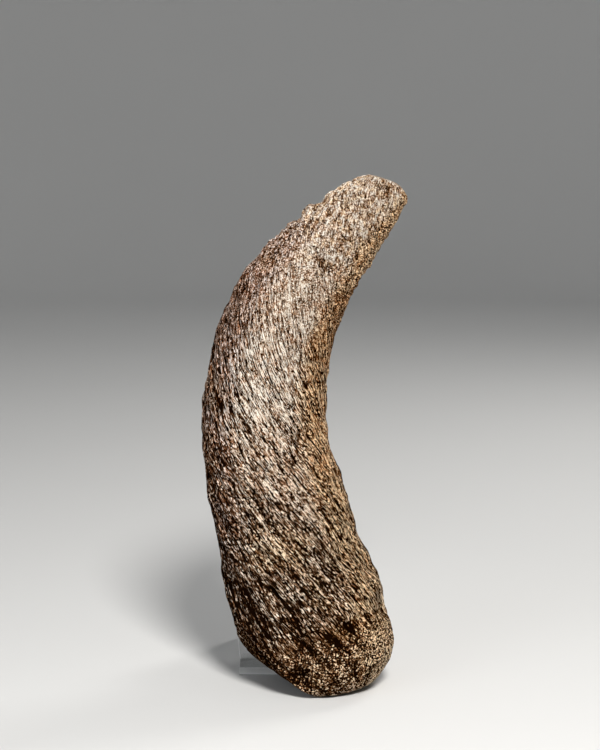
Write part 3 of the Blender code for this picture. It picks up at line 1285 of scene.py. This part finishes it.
    def fine_relief(self, point: Vector, ring: Ring, angle: float) -> tuple[float, float]:
        """Height of the slits, fibres and pits, and how deep the place lies in one.

        Args:
            point: the place on the smooth form.
            ring: its ring.
            angle: the angle round the ring.

        Returns:
            The height and the cavity, from 0 on top to 1 or more at the bottom of a pit; the
            finish darkens the bone by the cavity as painted shade.
        """
        place = self.grain_place(ring, angle)
        fibre = ring.loosened(self.fibres.at(place), noise.noise(point / self.crumb_size))
        slit = step(*self.slit_opens, self.open_slits.at(place))
        slit *= 1.0 - self.slit_loose_loss * ring.loose
        pit = ring.loosened(self.long_pits.at(place), noise.noise(point / self.round_pit_size))
        patch = noise.noise(point / self.pit_patch_size + self.pit_patch_shift)
        pit = step(*self.pit_opens, pit) * step(*self.pit_patch, patch)
        nodule, crevice = self.nodules(point) if ring.craggy > 0.0 else (0.0, 0.0)
        deep = self.slit_depth(ring, angle)
        height = self.fibre_height * fibre - self.slit_sinks * slit - self.pit_sinks * pit - deep
        height += (nodule - self.crevice_sinks * crevice) * ring.craggy
        # Painted shade: the slits, pits, crevices, listed slits and deep dents darken the bone
        # through the cavity.
        cavity = self.slit_cavity * slit + self.pit_cavity * pit
        cavity += self.crevice_cavity * crevice * ring.craggy
        dent = -self.marks_height(self.marks, ring, angle)
        cavity += deep + self.dent_painted_shade * step(*self.dent_shade_depth, dent)
        return height * ring.share, min(cavity, self.most_cavity)

    @staticmethod
    def reach(x: float, y: float, corner: tuple[float, ...], turn: float) -> float:
        """How far a place lies beyond a corner, in a direction in the plane."""
        return (x - corner[0]) * math.cos(turn) + (y - corner[1]) * math.sin(turn)

    def break_floor(self, x: float, y: float) -> float:
        """Height of the broken face under the base, with the chip at its right corner.

        Args:
            x: place to the right.
            y: place to the back.

        Returns:
            The height.
        """
        rubble = noise.noise(Vector((x, y, 0.0)) / self.rubble_size)
        rubble = max(self.rubble_height * (rubble + self.rubble_rise), 0.0)
        cut = max(-self.reach(x, y, self.break_corner, self.break_turn), 0.0)
        level = self.break_height + self.break_slope * (y - self.break_front)
        level += self.break_curve * cut * cut
        beyond = self.reach(x, y, self.chip_corner, self.chip_turn)
        chip = self.chip_corner[2] + self.chip_slope * beyond
        return smooth_max(level, chip, self.chip_rounding) + rubble

    def wear_ceiling(self, x: float) -> float:
        """Height of the worn face at the tip."""
        return self.wear_height - self.wear_slope * (x - self.wear_x)

    def surface(self, ring: Ring, angle: float) -> tuple[Vector, float, float]:
        """A point of the finished skin.

        Args:
            ring: its ring.
            angle: the angle round the ring.

        Returns:
            The point, its cavity and how loose the grain is there.
        """
        c = math.cos(angle)
        s = math.sin(angle)
        outward = ring.hollow * c - ring.back * s
        arm = ring.hollow * (c * ring.across) - ring.back * (s * ring.deep)
        point = ring.middle + arm * ring.share
        fine, cavity = self.fine_relief(point, ring, angle)
        point += outward * (self.relief(point, ring, angle) + fine)
        floor = self.break_floor(point.x, point.y)
        broken = step(*self.broken_above, point.z - floor)
        point.z = smooth_max(point.z, floor + cavity * broken, self.break_rounding)
        point.z = -smooth_max(-point.z, -self.wear_ceiling(point.x), self.wear_rounding)
        return point, cavity, max(ring.loose, broken)

    def build(self) -> bpy.types.Object:
        """Builds the skin and dresses it.

        Returns:
            The finished piece.
        """
        noise.seed_set(self.seed)
        self.measure()
        rings = [self.ring(0.0, 0.0), *self.rings(), self.ring(self.length, 0.0)]
        points, grain, place, cavities, loose = [], [], [], [], []
        for ring in rings:
            for i in range(self.sides if ring.share else 1):
                angle = math.tau * i / self.sides + ring.wind
                point, cavity, looseness = self.surface(ring, angle)
                points.append((point - ORIGIN) * MM)
                grain.append(self.grain_place(ring, angle))
                place.append((ring.t, math.cos(angle), math.sin(angle)))
                cavities.append(cavity)
                loose.append(looseness)
        mesh = bpy.data.meshes.new("horn_core_skin")
        mesh.from_pydata(points, [], self.faces(len(rings) - 2))
        self.keep(mesh, Attribute.GRAIN, "FLOAT_VECTOR", "vector", grain)
        self.keep(mesh, Attribute.PLACE, "FLOAT_VECTOR", "vector", place)
        self.keep(mesh, Attribute.CAVITY, "FLOAT", "value", cavities)
        self.keep(mesh, Attribute.LOOSE, "FLOAT", "value", loose)
        mesh.shade_smooth()
        mesh.materials.append(FossilBone().material())
        return link(bpy.data.objects.new("horn_core_skin", mesh))

    def faces(self, rings: int) -> list[tuple[int, ...]]:
        """The faces of the skin.

        Args:
            rings: number of rings between the two end points.

        Returns:
            Corner numbers of each face, turning outward.
        """
        n = self.sides
        last = 1 + rings * n
        faces = []
        for i in range(n):
            j = (i + 1) % n
            faces.append((0, 1 + i, 1 + j))
            for r in range(rings - 1):
                low = 1 + r * n
                faces.append((low + i, low + n + i, low + n + j, low + j))
            faces.append((last, last - n + j, last - n + i))
        return faces

    @staticmethod
    def keep(mesh: bpy.types.Mesh, name: Attribute, kind: str, key: str, values: list) -> None:
        """Keeps a value on each point of a mesh.

        Args:
            mesh: the mesh.
            name: the attribute.
            kind: its data type.
            key: name of the data in it.
            values: one value a point.
        """
        kept = mesh.attributes.new(name.value, kind, "POINT")
        kept.data.foreach_set(key, np.asarray(values, dtype=np.float32).ravel())


# ------------------------------------------------------------------------ stand
@dataclass
class SheetWalk:
    """A walk along the middle of a bent sheet in side view, as (y, z, length so far)."""

    points: list[tuple[float, float, float]]
    heading: float = 0.0

    def go(self, length: float) -> None:
        """Goes forward and notes the place.

        Args:
            length: how far.
        """
        y, z, walked = self.points[-1]
        y += length * math.cos(self.heading)
        z += length * math.sin(self.heading)
        self.points.append((y, z, walked + length))

    def straight(self, length: float, step_length: float) -> None:
        """A flat stretch.

        Args:
            length: its length.
            step_length: about how far to go at a time.
        """
        count = max(1, round(length / step_length))
        for _ in range(count):
            self.go(length / count)

    def bend(self, radius: float, turn: float, step_turn: float) -> None:
        """A bend.

        Args:
            radius: its radius.
            turn: its angle, up if it is positive.
            step_turn: about how far to turn at a time.
        """
        count = max(2, round(abs(turn) / step_turn))
        for _ in range(count):
            self.heading += 0.5 * turn / count
            self.go(2.0 * radius * math.sin(0.5 * abs(turn) / count))
            self.heading += 0.5 * turn / count


@dataclass
class DisplayStand:
    """The easel: one sheet of acrylic bent into a ledge, a back rest and a rear leg."""

    sheet: float = 5.0
    middle_x: float = -4.0
    ledge_depth: float = 25.2
    ledge_half: float = 35.0
    flared_half: float = 39.5
    flare_length: float = 50.0
    bend_radius: float = 5.5
    top_bend: float = 8.0
    rest_lean: float = math.radians(8.6)
    rest_length: float = 68.0
    leg_lean: float = math.radians(24.0)
    foot_rise: float = 0.85
    edge_round: float = 0.6
    round_segments: int = 3
    sharp_angle: float = math.radians(40.0)
    straight_step: float = 6.0
    bend_step: float = math.radians(4.0)
    strips: int = 6

    def path(self) -> tuple[list[tuple[float, float, float]], float, float]:
        """Walks the middle of the sheet, front edge to foot.

        Returns:
            The points as (y, z, length so far), and where the back rest and the leg start.
        """
        up = 0.5 * math.pi - self.rest_lean
        down = -0.5 * math.pi + self.leg_lean
        walk = SheetWalk([(0.0, 0.5 * self.sheet, 0.0)])
        walk.straight(self.ledge_depth + 0.5 * self.sheet - self.bend_radius, self.straight_step)
        rest_start = walk.points[-1][2]
        walk.bend(self.bend_radius, up, self.bend_step)
        walk.straight(self.rest_length, self.straight_step)
        walk.bend(self.top_bend, down - up, self.bend_step)
        _, top, leg_start = walk.points[-1]
        walk.straight((top - self.foot_rise) / math.cos(self.leg_lean), self.straight_step)
        return walk.points, rest_start, leg_start

    def build(self) -> bpy.types.Object:
        """Builds the sheet and dresses it.

        Returns:
            The finished piece.
        """
        points, rest_start, leg_start = self.path()
        total = points[-1][2]
        last = len(points) - 1
        bm = bmesh.new()
        bmesh.ops.create_grid(bm, x_segments=self.strips, y_segments=last, size=1.0)
        for vert in bm.verts:
            y, z, walked = points[round((vert.co.y + 1.0) * 0.5 * last)]
            flare = min(max((walked - rest_start) / self.flare_length, 0.0), 1.0)
            narrow = min(max((walked - leg_start) / (total - leg_start), 0.0), 1.0)
            half = self.ledge_half + (self.flared_half - self.ledge_half) * (flare - narrow)
            vert.co = (Vector((self.middle_x + half * vert.co.x, y, z)) - ORIGIN) * MM
        mesh = bpy.data.meshes.new("acrylic_easel")
        bm.to_mesh(mesh)
        bm.free()
        mesh.materials.append(ClearAcrylic().material())
        mesh.materials.append(ClearAcrylic(edge=True).material())
        easel = link(bpy.data.objects.new("acrylic_easel", mesh))
        thickness = easel.modifiers.new("sheet_thickness", "SOLIDIFY")
        thickness.thickness = self.sheet * MM
        thickness.offset = 0.0
        thickness.use_even_offset = True
        thickness.material_offset_rim = 1
        rounding = easel.modifiers.new("polished_edges", "BEVEL")
        rounding.width = self.edge_round * MM
        rounding.segments = self.round_segments
        rounding.limit_method = "ANGLE"
        rounding.angle_limit = self.sharp_angle
        rounding.harden_normals = True
        mesh.shade_smooth()
        return easel


# ----------------------------------------------------------------------- studio
class Lamp(NamedTuple):
    """A soft area light: place in metres, width in metres, power in watts and colour."""

    name: str
    place: tuple[float, float, float]
    width: float
    power: float
    colour: Colour


@dataclass
class Studio:
    """A pale sweep all round, soft lights and the camera, in metres."""

    floor_radius: float = 2.4
    sweep_radius: float = 1.2
    wall_height: float = 3.4
    sweep_steps: int = 24
    floor_sides: int = 96
    weld: float = 1e-5
    sky: Colour = (0.80, 0.82, 0.84)
    sky_strength: float = 0.30
    aim_height: float = 0.15
    lamps: tuple[Lamp, ...] = (
        Lamp("key", (0.25, -1.05, 1.20), 0.40, 30.0, (1.0, 0.98, 0.95)),
        Lamp("fill", (-1.1, -1.0, 0.7), 0.9, 4.0, (0.92, 0.96, 1.0)),
        Lamp("rim", (0.9, 0.9, 1.1), 0.6, 8.0, (1.0, 0.98, 0.95)),
    )
    camera_back: float = 1.1775
    camera_height: float = 0.3593
    camera_pitch: float = math.radians(8.0)
    focal_pixels: float = 1900.0
    picture_height: float = 750.0
    sensor: float = 36.0

    def floor(self) -> bpy.types.Object:
        """The sweep: a flat disc that curves up into a round wall.

        Returns:
            The floor object.
        """
        bm = bmesh.new()
        profile = [(0.0, 0.0), (self.floor_radius, 0.0)]
        for i in range(1, self.sweep_steps + 1):
            turn = 0.5 * math.pi * i / self.sweep_steps
            profile.append((self.floor_radius + self.sweep_radius * math.sin(turn),
                            self.sweep_radius * (1.0 - math.cos(turn))))
        profile.append((profile[-1][0], self.wall_height))
        verts = [bm.verts.new((r, 0.0, z)) for r, z in profile]
        edges = [bm.edges.new(pair) for pair in zip(verts, verts[1:])]
        bmesh.ops.spin(bm, geom=verts + edges, cent=(0, 0, 0), axis=(0, 0, 1),
                       angle=math.tau, steps=self.floor_sides, use_duplicate=False)
        bmesh.ops.remove_doubles(bm, verts=bm.verts, dist=self.weld)
        mesh = bpy.data.meshes.new("studio_floor")
        bm.to_mesh(mesh)
        bm.free()
        mesh.shade_smooth()
        mesh.materials.append(StudioPaper().material())
        return link(bpy.data.objects.new("studio_floor", mesh))

    def light(self, lamp: Lamp) -> None:
        """Adds one lamp, aimed at the object.

        Args:
            lamp: the lamp.
        """
        data = bpy.data.lights.new(lamp.name, "AREA")
        data.shape = "DISK"
        data.size = lamp.width
        data.energy = lamp.power
        data.color = lamp.colour
        obj = link(bpy.data.objects.new(lamp.name, data))
        obj.location = lamp.place
        aim = Vector((0.0, 0.0, self.aim_height)) - obj.location
        obj.rotation_euler = aim.to_track_quat("-Z", "Y").to_euler()

    def surroundings(self) -> None:
        """Sets the even light that comes from all round."""
        world = bpy.data.worlds.new("studio_light")
        world.use_nodes = True
        background = world.node_tree.nodes["Background"]
        background.inputs["Color"].default_value = (*self.sky, 1.0)
        background.inputs["Strength"].default_value = self.sky_strength
        bpy.context.scene.world = world

    def camera(self) -> bpy.types.Object:
        """Adds the camera, a little above the object and looking slightly down.

        Returns:
            The camera object.
        """
        data = bpy.data.cameras.new("camera")
        data.sensor_width = self.sensor
        data.lens = self.sensor * self.focal_pixels / self.picture_height
        obj = link(bpy.data.objects.new("camera", data))
        obj.location = Vector((0.0, -self.camera_back, self.camera_height)) - ORIGIN * MM
        obj.rotation_euler = (0.5 * math.pi - self.camera_pitch, 0.0, 0.0)
        bpy.context.scene.camera = obj
        return obj

    def build(self) -> bpy.types.Object:
        """Builds the studio.

        Returns:
            The floor, which isn't part of the object.
        """
        for lamp in self.lamps:
            self.light(lamp)
        self.surroundings()
        self.camera()
        bpy.context.scene.view_settings.view_transform = "Standard"
        return self.floor()


def link(obj: bpy.types.Object) -> bpy.types.Object:
    """Puts an object in the scene and returns it."""
    bpy.context.scene.collection.objects.link(obj)
    return obj


def main() -> None:
    """Builds the bone, the easel and the studio, and reports each."""
    logging.basicConfig(level=logging.INFO, format="%(name)s: %(message)s")
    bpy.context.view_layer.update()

    skin = HornCore().build()
    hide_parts("horn_core")
    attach(skin, "root")
    LOG.info("horn core skin: %d points", len(skin.data.vertices))

    easel = DisplayStand().build()
    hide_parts("display_stand")
    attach(easel, "root")
    LOG.info("easel: %d points before its thickness", len(easel.data.vertices))

    floor = Studio().build()
    LOG.info("studio: floor, lights and camera")


if __name__ == "__main__":
    main()
